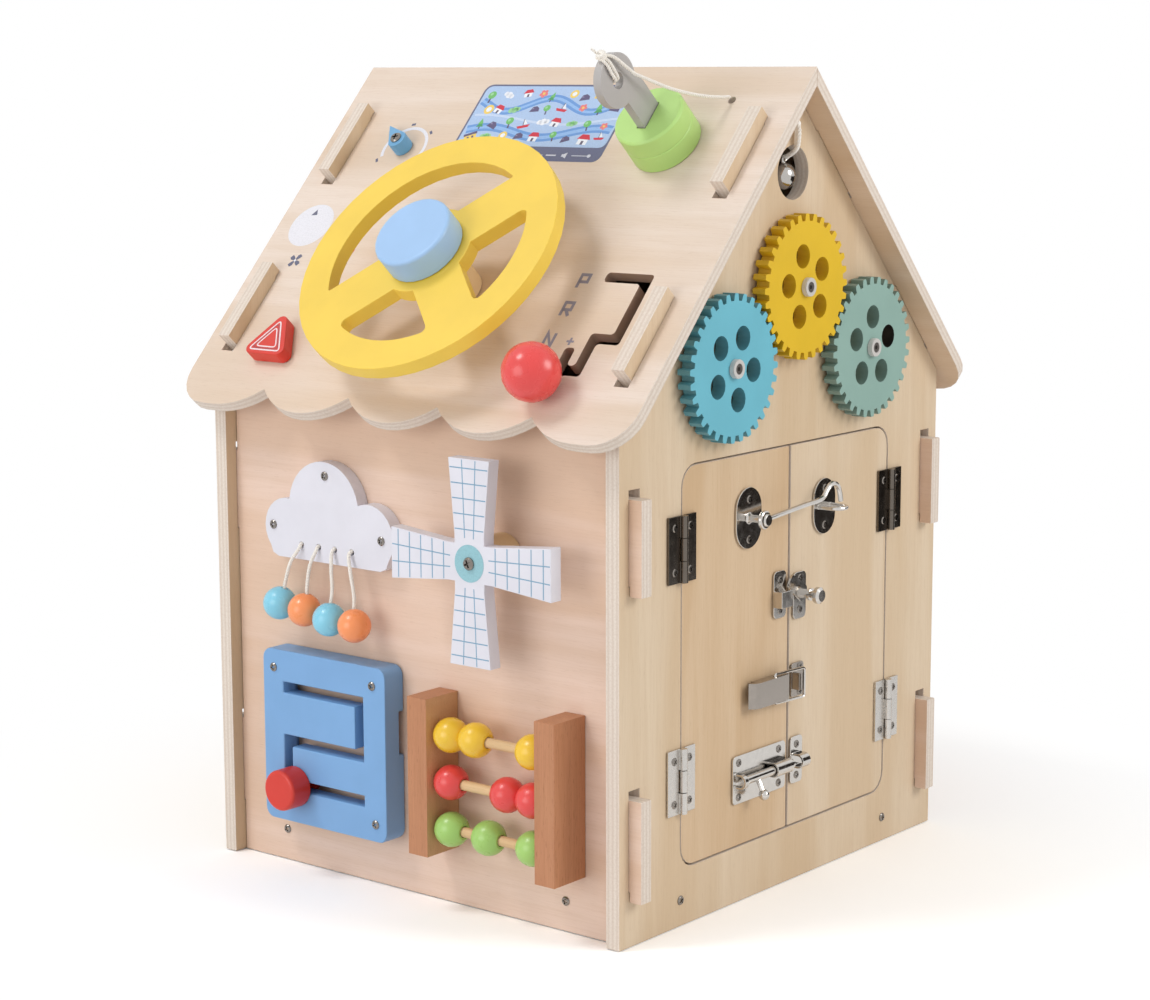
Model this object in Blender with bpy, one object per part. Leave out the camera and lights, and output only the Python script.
"""Wooden activity house: a plywood house with doors, latches, gears, a wheel and bead toys.

Metres, +Z up. X runs along the front wall, +Y runs back into the house.
The origin is the middle of the front wall's foot.
"""
import math

import bmesh
import bpy
from mathutils import Vector
from mathutils.geometry import tessellate_polygon

# Fits shared by the whole house
SEAT_GAP = 0.0003
RUN_GAP = 0.0004
OVERRUN = 0.004
SMOOTH_ANGLE = math.radians(38)

# House shell
HOUSE_WIDTH = 0.288
HOUSE_DEPTH = 0.300
PLY = 0.0085
RIDGE_HEIGHT = 0.445
ROOF_PITCH = math.radians(47.5)
ROOF_OVERHANG = 0.0145
ROOF_PLY = 0.0068
ROOF_LENGTH = 0.248
WALL_INSET = 0.008
FLOOR_HEIGHT = 0.012
ROOF_CORNER = 0.022
SCALLOPS = 5
SCALLOP_DROP = 0.013

# Tongues that lock the panels together
HEAD_PROUD = 0.008
HEAD_HOOK = 0.005
SLOT_SLACK = 0.0045
WALL_HEAD_SHARES = ((0.08532, 0.27728), (0.65054, 0.82722))
ROOF_HEAD_SHARES = ((0.15764, 0.38733), (0.69585, 0.93456))

# Doorway and doors
DOOR_POST = 0.0515
DOORWAY_FOOT = 0.0305
DOOR_LINTEL = 0.0368
DOORWAY_CORNER = 0.012
DOOR_EDGE_GAP = 0.001
DOOR_MEET_GAP = 0.0018

# Hinges
HINGE_HEIGHT = 0.035
HINGE_REACH = 0.01175
HINGE_BARREL = 0.0022
HINGE_PIN = 0.0009
HINGE_LEAF = 0.0012
HINGE_SHIFT = 0.0005
HINGE_LEVEL_SHARES = (0.79907, 0.22664)

# Shared hardware sheet
SHEET = 0.0012
WIRE = 0.0014

# Hook and eye
HOOK_ACROSS = -0.040
HOOK_LEVEL_SHARE = 0.83645
HOOK_PLATE = (0.023, 0.033)
HOOK_POST = 0.002
HOOK_HEAD = 0.0036
HOOK_PROUD = 0.0113
HOOK_LIFT = math.radians(4.5)
HOOK_BEND = 0.0180
HOOK_BEND_SHARES = (
    (-1, 0), (-0.6944, 0.1944), (-0.4722, 0.3444), (-0.2333, 0.3222), (-0.0667, 0.1667), (0.0111, -0.0556),
)
HOOK_POINT = 0.0022
EYE_ACROSS = 0.032
EYE_DROP = 0.003
EYE_PLATE = (0.021, 0.031)
EYE_WIRE = 0.00125
EYE_LOOP_HALF = 0.0058
EYE_REACH = 0.0146

# Turn catch
TURN_ACROSS = 0.0085
TURN_LEVEL_SHARE = 0.61215
TURN_PLATE = (0.012, 0.026)
TURN_SPINDLE = 0.0022
TURN_BLADE_LEVEL = 0.003
TURN_BLADE_REACH = 0.016
TURN_BLADE_HALF = math.radians(13)
TURN_REST = math.radians(145)
TURN_KNOB = 0.0046
TURN_PROUD = 0.016
TURN_NECK_SHARE = 0.6
TURN_KNOB_SHARES = (
    (0.574, 0.45), (0.75, 0.48), (0.75, 0.58), (0.478, 0.64), (0.478, 0.72), (1, 0.78), (1, 0.92), (0.7, 1),
)
STAPLE_ACROSS = -0.0105
STAPLE_RISE = 0.002
STAPLE_PLATE = (0.0115, 0.026)
STAPLE_LIP_HALF = 0.0045
STAPLE_LIP_LEVEL = 0.0056

# Toggle latch
TOGGLE_LEVEL_SHARE = 0.38785
TOGGLE_BASE = (-0.036, -0.0065)
TOGGLE_HALF = 0.007
TOGGLE_COVER = (-0.038, -0.0105)
TOGGLE_TOP = 0.008
TOGGLE_TAB = 0.005
TOGGLE_TAB_SHARES = ((0.5, 0.88), (1, 0.5), (0.88, 0.455), (0.385, 0.66), (0, 0.68))
LEVER_PIVOT = (-0.0122, 0.0045)
BAIL_PIVOT = (-0.020, 0.0052)
TOGGLE_PIN = 0.0009
BAIL_WIRE = 0.0008
BAIL_BAR = (0.0042, 0.0078)
CATCH_PLATE = (0.0012, 0.013)
CATCH_HALF = 0.0095
CATCH_WALL = 0.0063

# Barrel bolt
BOLT_LEVEL_SHARE = 0.17664
BOLT_PLATE = (-0.053, -0.004)
BOLT_PLATE_HALF = 0.01325
BOLT_ROD = 0.0025
BOLT_STEM_SHARE = 0.6
BOLT_AXIS = 0.0047
BOLT_TUNNEL = (-0.0205, -0.0055)
BOLT_STOP = (-0.0515, -0.0485)
BOLT_SPAN = (-0.047, -0.0015)
BOLT_KNOB_AT = -0.0355
BOLT_KNOB = 0.003
BOLT_KNOB_DROP = 0.0095
KEEPER_PLATE = (0.0012, 0.0125)
KEEPER_TUNNEL = (0.0030, 0.0105)

# Gears
GEAR_TEETH = 32
GEAR_TIP = 0.0388
GEAR_ROOT = 0.0350
GEAR_CENTRES = 0.0754
GEAR_THICK = 0.008
GEAR_LEVEL = 0.0015
GEAR_BACKLASH = 0.0006
GEAR_PRESSURE = math.radians(20)
GEAR_PIN = 0.003
GEAR_HEAD = 0.005
GEAR_HEAD_THICK = 0.0018
GEAR_TOP_DROP = 0.1156
GEAR_DROP_ANGLE = math.radians(30)
GEAR_HOLE = 0.0065
GEAR_HOLE_RING = 0.0168
GEAR_HOLES = 5
YELLOW_HOLE_TURN = math.radians(31)
BLUE_HOLE_TURN = math.radians(-7)
SAGE_HOLE_TURN = math.radians(17)

# Bell
WINDOW_DROP = 0.0555
WINDOW_RADIUS = 0.0145
BELL_CORD_HOLE = 0.003
BELL_CORD_DROP = 0.030
BELL_DROP = 0.0275
BELL_SET_IN = 0.0090
BELL_BEND = 0.0130
BELL_RADIUS = 0.0075
BELL_CORD = 0.0012
BELL_KNOT = 0.0023
BELL_EYELET = 0.00192
EYELET_FOOT_SHARE = 0.8
EYELET_HEAD_SHARE = 1.25
BELL_PROUD = 0.0019
BELL_SIDES = 20
BELL_SLIT = 0.0011
BELL_SLIT_DEPTH = 0.004

# Cloud and its beads
CLOUD_THICK = 0.008
CLOUD_ACROSS_SHARE = -0.4167
CLOUD_ROOM_SHARE = 0.3314
CLOUD_BUMPS = ((0, 0.0297, 0.0262), (-0.0285, 0.0167, 0.0165), (0.0330, 0.0172, 0.0185))
CLOUD_FOOT_ROUND = 0.006
CLOUD_HOLE_RISE = 0.0082
CLOUD_HOLES = (-0.0172, -0.0042, 0.0079, 0.0207)
CLOUD_HOLE = 0.0019
CLOUD_BEAD_OFFSETS = (-0.0268, -0.0080, 0.0108, 0.0296)
CLOUD_BEAD_DROP_SHARES = (0.4737, 0.5029, 0.5614, 0.5809)
CLOUD_BEAD = 0.0092
CLOUD_BEAD_PROUD = 0.0165
CLOUD_CORD = 0.0011
CLOUD_KNOT = 0.00143
CLOUD_CORNER_SHARE = 0.3
CORD_SUNK_SHARE = 0.8
CLOUD_CORD_PROUD = 0.0016

# Windmill
MILL_ACROSS_SHARE = 0.4340
MILL_ROOM_SHARE = 0.4703
MILL_REACH_SHARE = 0.3307
MILL_ROOT_HALF = 0.0100
MILL_TIP_HALF = 0.0138
MILL_THICK = 0.008
MILL_PROUD = 0.028
MILL_SPACER = 0.0125
MILL_INNER = 0.0145

# Maze
MAZE_PLACE_SHARES = (-0.3906, 0.1031)
MAZE_WIDE = 0.0925
MAZE_TALL = 0.0975
MAZE_THICK = 0.015
MAZE_CORNER = 0.006
MAZE_ROW_SHARES = (0.2205, 0.4769, 0.7846)
MAZE_END_SHARES = (-0.3, 0.2892)
MAZE_SLOT_HALF = 0.00305
MAZE_GROOVE_HALF = 0.006
MAZE_GROOVE_DEEP = 0.0045
MAZE_NOTCH_DEEP = 0.0036
MAZE_NOTCH_SHARE = 0.7385
MAZE_KNOB_SHARE = -0.2351
MAZE_KNOB = 0.0115
MAZE_KNOB_TALL = 0.014
MAZE_STEM = 0.0026
MAZE_DISC = 0.0052

# Abacus
ABACUS_PLACE_SHARES = (0.4576, 0.1138)
ABACUS_SPAN = 0.1002
ABACUS_POST = 0.0134
ABACUS_END_POST = 0.0131
ABACUS_TALL = 0.086
ABACUS_DEEP = 0.0255
ABACUS_ROW_SHARES = (0.7709, 0.4721, 0.1744)
ABACUS_ROD = 0.00275
ABACUS_ROD_LEVEL = 0.016
ABACUS_ROD_SOCKET = 0.005
BEAD_RADIUS = 0.0095
BEAD_HALF = 0.0085
BEAD_SPACE = 0.0173
GREEN_PLACE_SHARE = 0.4599

# Steering wheel
WHEEL_PLACE_SHARES = (0.0278, 0.6492)
WHEEL_RADIUS = 0.0785
WHEEL_RIM = 0.0185
WHEEL_THICK = 0.0085
WHEEL_PROUD = 0.036
WHEEL_SPOKE_HALF = 0.0142
WHEEL_HUB = 0.0278
WHEEL_CORNER = 0.0032
WHEEL_CORNER_TIGHT = 0.0010
WHEEL_TURN = math.radians(-45)
HUB_RADIUS = 0.0226
HUB_PROUD = 0.0515
DOWEL_RADIUS = 0.014

# Lock and key
LOCK_PLACE_SHARES = (0.6146, 0.2218)
LOCK_RADIUS = 0.0202
LOCK_TALL = 0.023
LOCK_SEAM = 0.0005
LOCK_SLOT = (0.0058, 0.0182)
LOCK_SLOT_DEPTH = 0.018
KEY_THICK = 0.005
KEY_BIT_HALF = 0.0085
KEY_BOW = 0.0145
KEY_BOW_LEVEL = 0.0562
KEY_BOW_SHIFT = 0.006
KEY_BOW_START = math.radians(-30)
KEY_BOW_HOLE = 0.0045
KEY_FOOT = 0.0065
KEY_SHOULDER = 0.040
KEY_CORD = 0.0010
CORD_HOLE_SHARES = (0.8021, 0.0968)
CORD_HOLE = 0.0024
KEY_CORD_ROUTE = (
    (0.0843, 0.0611, 0.0557), (0.0885, 0.0610, 0.0559), (0.0926, 0.0613, 0.0577), (0.0932, 0.0627, 0.0637),
    (0.0932, 0.0615, 0.0689), (0.0930, 0.0585, 0.0672), (0.0931, 0.0560, 0.0610), (0.0950, 0.0527, 0.0522),
    (0.0990, 0.0486, 0.0418), (0.1030, 0.0439, 0.0308), (0.1085, 0.0368, 0.0184), (0.1130, 0.0295, 0.0085),
    (0.1155, 0.0240, 0.0026),
)

# Small dashboard pieces
POINTER_PLACE_SHARES = (-0.6681, 0.2512)
POINTER_BASE = 0.0059
POINTER_TIP = 0.0195
POINTER_TALL = 0.009
POINTER_TIP_TALL = 0.0068
POINTER_AIM = math.radians(140.5)
HAZARD_PLACE_SHARES = (-0.7118, 0.8770)
HAZARD_HALF = 0.017
HAZARD_TALL = 0.0305
HAZARD_LEAN = 0.0005
HAZARD_CORNER = 0.004
HAZARD_THICK = 0.0085
SHIFT_COLUMN_SHARE = 0.6701
SHIFT_STOP_SHARE = 0.8831
SHIFT_TRAVEL = 0.025
SHIFT_PATH_SHARES = ((0.6806, 0.5847), (0.8472, 0.5847), (0.8472, 0.7419), (0.75, 0.7419), (0.75, 0.8266))
SHIFT_SLOT_HALF = 0.0032
SHIFT_CORNER = 0.0022
SHIFT_BALL = 0.0155
SHIFT_BALL_LEVEL = 0.0168
SHIFT_STEM = 0.0026
SHIFT_DISC = 0.0065
SHIFT_DISC_THICK = 0.002
SHIFT_NOTCH_HALF = 0.0125
SHIFT_NOTCH_DEEP = 0.012

# How finely round things are drawn
FINE = 48
ROUND = 28
SMALL = 16
TINY = 10
FEW = 4
BEAD_SIDES = 18

# Colours
BIRCH = (0.84, 0.69, 0.53)
BIRCH_PALE = (0.87, 0.75, 0.58)
BEECH = (0.66, 0.38, 0.20)
NICKEL = (0.62, 0.60, 0.57)
WHEEL_YELLOW = (0.93, 0.68, 0.08)
GEAR_YELLOW = (0.80, 0.52, 0.02)
GEAR_BLUE = (0.16, 0.50, 0.62)
GEAR_SAGE = (0.28, 0.50, 0.44)
SKY = (0.32, 0.52, 0.84)
MAZE_BLUE = (0.20, 0.38, 0.70)
RED = (0.74, 0.05, 0.03)
GREEN = (0.26, 0.60, 0.10)
WHITE = (0.80, 0.80, 0.84)
GREY = (0.35, 0.35, 0.36)
CYAN = (0.06, 0.48, 0.66)
ORANGE = (0.86, 0.24, 0.06)
BEAD_YELLOW = (0.90, 0.62, 0.02)
COTTON = (0.85, 0.80, 0.72)

HALF_WIDTH = HOUSE_WIDTH / 2
HALF_DEPTH = HOUSE_DEPTH / 2
FRONT_FACE = -PLY / 2
CENTRE_Y = FRONT_FACE + HALF_DEPTH - WALL_INSET
INNER_HALF = HALF_WIDTH - PLY - SEAT_GAP
SIN = math.sin(ROOF_PITCH)
COS = math.cos(ROOF_PITCH)
EAVE_LEVEL = RIDGE_HEIGHT - HALF_DEPTH * math.tan(ROOF_PITCH)
ROOF_SEAT = min(HALF_DEPTH / COS, ROOF_LENGTH)
DOORWAY_HALF = HALF_DEPTH - DOOR_POST
DOORWAY_HEAD = EAVE_LEVEL - DOOR_LINTEL


# Places worked out from the sizes they follow
def spread(shares, size):
    """A place, or a table of places, along a size."""
    if isinstance(shares, tuple):
        return tuple(spread(share, size) for share in shares)
    return shares * size


def on_door(share):
    return DOORWAY_FOOT + share * (DOORWAY_HEAD - DOORWAY_FOOT)


def on_front(shares):
    return (shares[0] * HALF_WIDTH, shares[1] * EAVE_LEVEL)


def on_roof(shares):
    return (shares[0] * HALF_WIDTH, shares[1] * ROOF_LENGTH)


WALL_HEADS = spread(WALL_HEAD_SHARES, EAVE_LEVEL)
ROOF_HEADS = spread(ROOF_HEAD_SHARES, ROOF_SEAT)
HOOK_POST_SPOT = (HOOK_ACROSS, on_door(HOOK_LEVEL_SHARE))
EYE_SPOT = (EYE_ACROSS, on_door(HOOK_LEVEL_SHARE) - EYE_DROP)
TURN_SPOT = (TURN_ACROSS, on_door(TURN_LEVEL_SHARE))
STAPLE_SPOT = (STAPLE_ACROSS, TURN_SPOT[1] + STAPLE_RISE)
TOGGLE_LEVEL = on_door(TOGGLE_LEVEL_SHARE)
BOLT_LEVEL = on_door(BOLT_LEVEL_SHARE)
GEAR_TOP_CENTRE = RIDGE_HEIGHT - GEAR_TOP_DROP
MAZE_SPOT = on_front(MAZE_PLACE_SHARES)
ABACUS_SPOT = on_front(ABACUS_PLACE_SHARES)
CLOUD_ROOM = EAVE_LEVEL - MAZE_SPOT[1] - MAZE_TALL
CLOUD_SPOT = (CLOUD_ACROSS_SHARE * HALF_WIDTH, MAZE_SPOT[1] + MAZE_TALL + CLOUD_ROOM_SHARE * CLOUD_ROOM)
MILL_ROOM = EAVE_LEVEL - ABACUS_SPOT[1] - ABACUS_TALL
MILL_SPOT = (MILL_ACROSS_SHARE * HALF_WIDTH, ABACUS_SPOT[1] + ABACUS_TALL + MILL_ROOM_SHARE * MILL_ROOM)
MILL_REACH = MILL_REACH_SHARE * MILL_ROOM
WHEEL_SPOT = on_roof(WHEEL_PLACE_SHARES)
LOCK_SPOT = on_roof(LOCK_PLACE_SHARES)
CORD_HOLE_SPOT = on_roof(CORD_HOLE_SHARES)
POINTER_SPOT = on_roof(POINTER_PLACE_SHARES)
HAZARD_SPOT = on_roof(HAZARD_PLACE_SHARES)
SHIFT_PATH = [on_roof(place) for place in SHIFT_PATH_SHARES]
SHIFT_COLUMN = SHIFT_COLUMN_SHARE * HALF_WIDTH
SHIFT_STOP_LOW = SHIFT_STOP_SHARE * ROOF_LENGTH
SHIFT_STOP_HIGH = SHIFT_STOP_LOW - SHIFT_TRAVEL


# Working planes
class Plane:
    """A flat working plane: points are given across it, up it and out of it."""

    def __init__(self, origin, across, up):
        self.origin = Vector(origin)
        self.across = Vector(across)
        self.up = Vector(up)
        self.out = self.across.cross(self.up)

    def at(self, across, up, out=0):
        return self.origin + self.across * across + self.up * up + self.out * out

    def moved(self, across, up, out=0):
        return Plane(self.at(across, up, out), self.across, self.up)

    def turned(self, angle):
        """The same spot turned about its out direction."""
        across = self.across * math.cos(angle) + self.up * math.sin(angle)
        up = self.up * math.cos(angle) - self.across * math.sin(angle)
        return Plane(self.origin, across, up)

    def edge_on(self):
        """The same spot with its out direction along this plane's up."""
        return Plane(self.origin, self.out, self.across)

    def end_on(self):
        """The same spot with its out direction along this plane's across."""
        return Plane(self.origin, self.up, self.out)


GABLE = Plane((HALF_WIDTH, CENTRE_Y, 0), (0, 1, 0), (0, 0, 1))
LEFT_GABLE = Plane((-HALF_WIDTH, CENTRE_Y, 0), (0, -1, 0), (0, 0, 1))
FRONT = Plane((0, FRONT_FACE, 0), (1, 0, 0), (0, 0, 1))
BACK = Plane((0, 2 * CENTRE_Y - FRONT_FACE, 0), (-1, 0, 0), (0, 0, 1))
ROOF = Plane((0, CENTRE_Y, RIDGE_HEIGHT), (1, 0, 0), (0, COS, SIN))
BACK_ROOF = Plane((0, CENTRE_Y, RIDGE_HEIGHT), (-1, 0, 0), (0, -COS, SIN))


# Outlines
def circle(radius, count, centre=(0, 0), turn=0):
    steps = [turn + 2 * math.pi * i / count for i in range(count)]
    return [(centre[0] + radius * math.cos(a), centre[1] + radius * math.sin(a)) for a in steps]


def arc(centre, radius, start, end, steps):
    angles = [start + (end - start) * i / steps for i in range(steps + 1)]
    return [(centre[0] + radius * math.cos(a), centre[1] + radius * math.sin(a)) for a in angles]


def box(left, right, foot, head):
    return [(left, foot), (right, foot), (right, head), (left, head)]


def rounded(points, radius, steps=5):
    """The outline with every corner turned into a fillet."""
    result = []
    for i, corner in enumerate(points):
        here = Vector(corner)
        back = (Vector(points[i - 1]) - here).normalized()
        ahead = (Vector(points[(i + 1) % len(points)]) - here).normalized()
        half = back.angle(ahead) / 2
        centre = here + (back + ahead).normalized() * (radius / math.sin(half))
        start = here + back * (radius / math.tan(half)) - centre
        end = here + ahead * (radius / math.tan(half)) - centre
        first = math.atan2(start.y, start.x)
        sweep = math.remainder(math.atan2(end.y, end.x) - first, 2 * math.pi)
        result += arc(tuple(centre), radius, first, first + sweep, steps)
    return result


def channel(path, half):
    """The outline of a square-cornered track of given half width round a path."""
    left = []
    right = []
    last = len(path) - 1
    for i, spot in enumerate(path):
        here = Vector(spot)
        ahead = Vector(path[min(i + 1, last)]) - Vector(path[min(i, last - 1)])
        behind = Vector(path[max(i, 1)]) - Vector(path[max(i, 1) - 1])
        ahead.normalize()
        behind.normalize()
        side = Vector((-ahead.y, ahead.x)) + Vector((-behind.y, behind.x))
        side *= 1 / (1 + ahead.dot(behind))
        cap = Vector((0, 0))
        if i == 0:
            cap = -ahead
        if i == last:
            cap = behind
        left.append(tuple(here + (cap + side) * half))
        right.append(tuple(here + (cap - side) * half))
    return right + left[::-1]


def turning(outline):
    """Twice the signed area of an outline."""
    pairs = zip(outline, outline[1:] + outline[:1])
    return sum(a[0] * b[1] - b[0] * a[1] for a, b in pairs)


# Meshes
def finish(work):
    bmesh.ops.recalc_face_normals(work, faces=work.faces)
    mesh = bpy.data.meshes.new("mesh")
    work.to_mesh(mesh)
    work.free()
    return mesh


def slab(plane, outline, low, high, holes=(), lean=None):
    """A flat board with through holes. lean moves chosen points of its low face."""
    loops = [list(outline)] + [list(hole) for hole in holes]
    work = bmesh.new()
    flat = []
    layers = ([], [])
    for number, loop in enumerate(loops):
        if (turning(loop) > 0) != (number == 0):
            loop.reverse()
        under = [lean(a, b) if lean else (a, b) for a, b in loop]
        tops = [work.verts.new(plane.at(a, b, high)) for a, b in loop]
        feet = [work.verts.new(plane.at(a, b, low)) for a, b in under]
        for i, top in enumerate(tops):
            work.faces.new((feet[i - 1], feet[i], top, tops[i - 1]))
        layers[0].extend(tops)
        layers[1].extend(feet)
        flat.append([Vector((a, b, 0)) for a, b in loop])
    for corners in tessellate_polygon(flat):
        work.faces.new([layers[0][i] for i in corners])
        work.faces.new([layers[1][i] for i in reversed(corners)])
    return finish(work)


def spin(plane, profile, count=ROUND, closed=False):
    """A turned shape about the plane's out axis, from (radius, level) pairs."""
    work = bmesh.new()
    rings = []
    for radius, level in profile:
        if radius == 0:
            rings.append([work.verts.new(plane.at(0, 0, level))])
            continue
        rings.append([work.verts.new(plane.at(a, b, level)) for a, b in circle(radius, count)])
    pairs = list(zip(rings, rings[1:]))
    if closed:
        pairs.append((rings[-1], rings[0]))
    for low, high in pairs:
        for i in range(count):
            ring = [low[i - 1], low[i]] if len(low) > 1 else [low[0]]
            ring += [high[i], high[i - 1]] if len(high) > 1 else [high[0]]
            work.faces.new(ring)
    return finish(work)


def ball(plane, radius, count=ROUND):
    half = count // 2
    angles = [math.pi * i / half - math.pi / 2 for i in range(1, half)]
    middle = [(radius * math.cos(a), radius * math.sin(a)) for a in angles]
    return spin(plane, [(0, -radius)] + middle + [(0, radius)], count)


def peg(plane, radius, low, high, count=SMALL):
    return spin(plane, [(0, low), (radius, low), (radius, high), (0, high)], count)


def smooth_path(points, spacing):
    """Evenly spaced points on a smooth curve through the given ones."""
    knots = [Vector(p) for p in points]
    ends = [2 * knots[0] - knots[1]] + knots + [2 * knots[-1] - knots[-2]]
    fine = []
    pieces = 24
    for a, b, c, d in zip(ends, ends[1:], ends[2:], ends[3:]):
        for step in range(pieces):
            t = step / pieces
            bend = (2 * a - 5 * b + 4 * c - d) * t * t + (3 * b - a - 3 * c + d) * t ** 3
            fine.append(b + ((c - a) * t + bend) / 2)
    fine.append(knots[-1])
    total = sum((q - p).length for p, q in zip(fine, fine[1:]))
    count = max(2, round(total / spacing))
    result = [fine[0]]
    run = 0
    for p, q in zip(fine, fine[1:]):
        run += (q - p).length
        if run >= total * len(result) / count and len(result) < count:
            result.append(q)
    return result + [fine[-1]]


def cord(points, radius, spacing_share=2.5, smooth=True):
    """A round cord or wire with filled ends along a route in space."""
    route = smooth_path(points, spacing_share * 2 * radius) if smooth else points
    curve = bpy.data.curves.new("route", "CURVE")
    curve.dimensions = "3D"
    curve.bevel_depth = radius
    curve.bevel_resolution = 2
    curve.use_fill_caps = True
    spline = curve.splines.new("POLY")
    spline.points.add(len(route) - 1)
    for point, spot in zip(spline.points, route):
        point.co = (*spot, 1)
    holder = bpy.data.objects.new("route", curve)
    bpy.context.scene.collection.objects.link(holder)
    bpy.context.view_layer.update()
    ready = holder.evaluated_get(bpy.context.evaluated_depsgraph_get())
    mesh = bpy.data.meshes.new_from_object(ready)
    bpy.data.objects.remove(holder)
    work = bmesh.new()
    work.from_mesh(mesh)
    bmesh.ops.remove_doubles(work, verts=work.verts, dist=radius / 50)
    return finish(work)


# Booleans
def cutting_tool(mesh):
    tool = bpy.data.objects.new("tool", mesh)
    tool.hide_render = True
    tool.display_type = "WIRE"
    bpy.context.scene.collection.objects.link(tool)
    return tool


def combine(mesh, others, operation):
    """The mesh with the others joined to it or cut from it, one after another."""
    base = bpy.data.objects.new("base", mesh)
    bpy.context.scene.collection.objects.link(base)
    tools = [cutting_tool(other) for other in others]
    for tool in tools:
        change = base.modifiers.new("change", "BOOLEAN")
        change.operation = operation
        change.solver = "EXACT"
        change.object = tool
    bpy.context.view_layer.update()
    ready = base.evaluated_get(bpy.context.evaluated_depsgraph_get())
    result = bpy.data.meshes.new_from_object(ready)
    for item in tools + [base]:
        bpy.data.objects.remove(item)
    return result


def join(mesh, *others):
    return combine(mesh, others, "UNION")


def cut(mesh, *others):
    return combine(mesh, others, "DIFFERENCE")


# Objects
MATERIALS = {}


def material(name, color, rough, metal):
    if name not in MATERIALS:
        made = bpy.data.materials.new(name)
        made.use_nodes = True
        shader = made.node_tree.nodes["Principled BSDF"]
        shader.inputs["Base Color"].default_value = (*color, 1)
        shader.inputs["Roughness"].default_value = rough
        shader.inputs["Metallic"].default_value = metal
        MATERIALS[name] = made
    return MATERIALS[name]


def add(name, mesh, color, pivot=None, rough=0.5, metal=0):
    """Puts one named piece in the scene, its origin on its pivot if it has one."""
    mesh.name = name
    item = bpy.data.objects.new(name, mesh)
    if pivot is not None:
        for vertex in mesh.vertices:
            vertex.co -= Vector(pivot)
        item.location = pivot
    for face in mesh.polygons:
        face.use_smooth = True
    mesh.set_sharp_from_angle(angle=SMOOTH_ANGLE)
    mesh.materials.clear()
    mesh.materials.append(material(name, color, rough, metal))
    bpy.context.scene.collection.objects.link(item)
    return item


def add_metal(name, mesh, pivot=None):
    return add(name, mesh, NICKEL, pivot, 0.25, 1)


# House shell
def wall_outline(top, notched=False):
    """A cross wall with hooked tongues on both sides."""
    face = HALF_WIDTH + SEAT_GAP
    tip = HALF_WIDTH + HEAD_PROUD
    side = [(INNER_HALF, 0)]
    for foot, head in WALL_HEADS:
        neck = foot + HEAD_HOOK + SEAT_GAP
        side += [(INNER_HALF, neck), (face, neck), (face, foot)]
        side += [(tip, foot), (tip, head), (INNER_HALF, head)]
    side.append((INNER_HALF, top))
    middle = []
    if notched:
        low = top - SHIFT_NOTCH_DEEP
        left = SHIFT_COLUMN - SHIFT_NOTCH_HALF
        right = SHIFT_COLUMN + SHIFT_NOTCH_HALF
        middle = [(right, top), (right, low), (left, low), (left, top)]
    return side + middle + [(-a, b) for a, b in reversed(side)]


def wall_top(out_of_centre):
    under = RIDGE_HEIGHT - (ROOF_PLY + SEAT_GAP) / COS
    return under - out_of_centre * math.tan(ROOF_PITCH)


def slope_spot(down, out):
    """A point of the gable outline from its place down and above the roof."""
    return (down * COS + out * SIN, RIDGE_HEIGHT - down * SIN + out * COS)


def gable_side():
    """The gable's right edge from foot to ridge, with its roof tongues."""
    under = -ROOF_PLY - SEAT_GAP
    side = [(HALF_DEPTH, 0), (HALF_DEPTH, wall_top(HALF_DEPTH))]
    for high, low in reversed(ROOF_HEADS):
        neck = high + HEAD_HOOK + SEAT_GAP
        tongue = [(low, under), (low, HEAD_PROUD), (high, HEAD_PROUD)]
        tongue += [(high, SEAT_GAP), (neck, SEAT_GAP), (neck, under)]
        side += [slope_spot(down, out) for down, out in tongue]
    return side


def gable_outline():
    side = gable_side()
    return side + [(0, wall_top(0))] + [(-a, b) for a, b in reversed(side)]


def wall_slots():
    slots = []
    near = HALF_DEPTH - WALL_INSET - PLY - SEAT_GAP
    far = HALF_DEPTH - WALL_INSET + SEAT_GAP
    for foot, head in WALL_HEADS:
        for sign in (-1, 1):
            edges = sorted((sign * near, sign * far))
            slots.append(box(*edges, foot + HEAD_HOOK, head + SLOT_SLACK))
    return slots


def roof_slots():
    slots = []
    middle = HALF_WIDTH - PLY / 2
    half = PLY / 2 + SEAT_GAP
    for high, low in ROOF_HEADS:
        for spot in (-middle, middle):
            slots.append(box(spot - half, spot + half, -low - SLOT_SLACK, -high - HEAD_HOOK))
    return slots


def ridge_lean(across, up):
    """The mitre: the low face starts further down the slope at the ridge."""
    if up > -ROOF_HEADS[0][0] / 2:
        return (across, up - ROOF_PLY * math.tan(ROOF_PITCH))
    return (across, up)


def front_eave():
    """The scalloped lower edge from left to right."""
    half = HALF_WIDTH + ROOF_OVERHANG
    chord = HOUSE_WIDTH + 2 * ROOF_OVERHANG
    step = chord / SCALLOPS
    radius = (step * step / 4 + SCALLOP_DROP * SCALLOP_DROP) / (2 * SCALLOP_DROP)
    opening = math.asin(step / 2 / radius)
    level = -ROOF_LENGTH + radius
    edge = arc((-half + ROOF_CORNER, -ROOF_LENGTH + ROOF_CORNER), ROOF_CORNER, math.pi, 1.5 * math.pi, 6)
    for i in range(SCALLOPS):
        centre = (-half + step * (i + 0.5), level)
        start = -math.pi / 2 - opening if i else -math.pi / 2
        end = -math.pi / 2 + opening if i < SCALLOPS - 1 else -math.pi / 2
        piece = arc(centre, radius, start, end, 10 if 0 < i < SCALLOPS - 1 else 6)
        edge += piece[1:] if i else piece
    edge += arc((half - ROOF_CORNER, -ROOF_LENGTH + ROOF_CORNER), ROOF_CORNER, 1.5 * math.pi, 2 * math.pi, 6)
    return edge


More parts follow.
